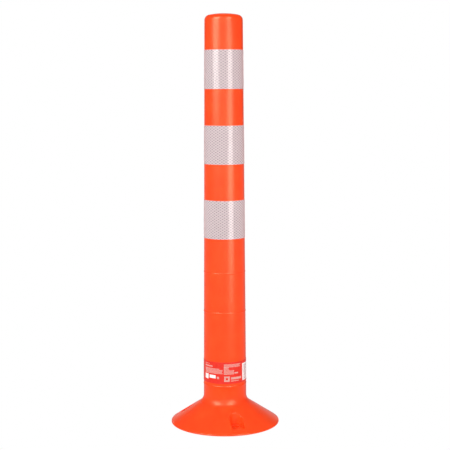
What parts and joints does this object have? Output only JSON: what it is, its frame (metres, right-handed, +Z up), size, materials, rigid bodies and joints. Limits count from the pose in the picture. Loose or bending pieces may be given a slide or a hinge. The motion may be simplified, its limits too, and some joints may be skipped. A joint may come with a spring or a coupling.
{
  "type": "delineator post",
  "caption": "Flexible tubular traffic post on a cone-shaped skirt with pockets for ground bolts, reflective bands and a wrapped label; it bends at the foot and springs back upright.",
  "frame": {"origin": "centre of the underside, on the ground", "axes": "+Z up along the tube; -Y is the side the middle of the label faces; the overlaps of the bands are at +Y"},
  "size_m": [0.2, 0.2, 0.75],
  "materials": {
    "moulding": "satin",
    "sheeting": "satin",
    "label": "gloss"
  },
  "bodies": {
    "base": {"skirt_base": "moulding"},
    "flex_lower": {"flex_section_1": "moulding", "product_label": "label"},
    "flex_second": {"flex_section_2": "moulding"},
    "flex_third": {"flex_section_3": "moulding"},
    "post": {"flex_section_4": "moulding", "upper_tube": "moulding", "band_lower": "sheeting", "band_middle": "sheeting", "band_upper": "sheeting"}
  },
  "joints": [
    {"name": "bend_front_back_low", "type": "hinge", "parent": "base", "child": "flex_lower", "pos_m": [0, 0, 0.1], "axis": [1, 0, 0], "range_deg": [-38, 38], "stiffness_Nm_per_rad": 200, "deforming": ["flex_section_1", "product_label"]},
    {"name": "bend_sideways_low", "type": "hinge", "parent": "flex_lower", "child": "flex_second", "pos_m": [0, 0, 0.146], "axis": [0, 1, 0], "range_deg": [-38, 38], "stiffness_Nm_per_rad": 200, "deforming": ["flex_section_2"]},
    {"name": "bend_front_back_high", "type": "hinge", "parent": "flex_second", "child": "flex_third", "pos_m": [0, 0, 0.192], "axis": [1, 0, 0], "range_deg": [-38, 38], "stiffness_Nm_per_rad": 200, "deforming": ["flex_section_3"]},
    {"name": "bend_sideways_high", "type": "hinge", "parent": "flex_third", "child": "post", "pos_m": [0, 0, 0.238], "axis": [0, 1, 0], "range_deg": [-38, 38], "stiffness_Nm_per_rad": 200, "deforming": ["flex_section_4"]}
  ],
  "couplings": [
    {"joint": "bend_front_back_high", "follows": "bend_front_back_low", "ratio": 1},
    {"joint": "bend_sideways_high", "follows": "bend_sideways_low", "ratio": 1}
  ]
}
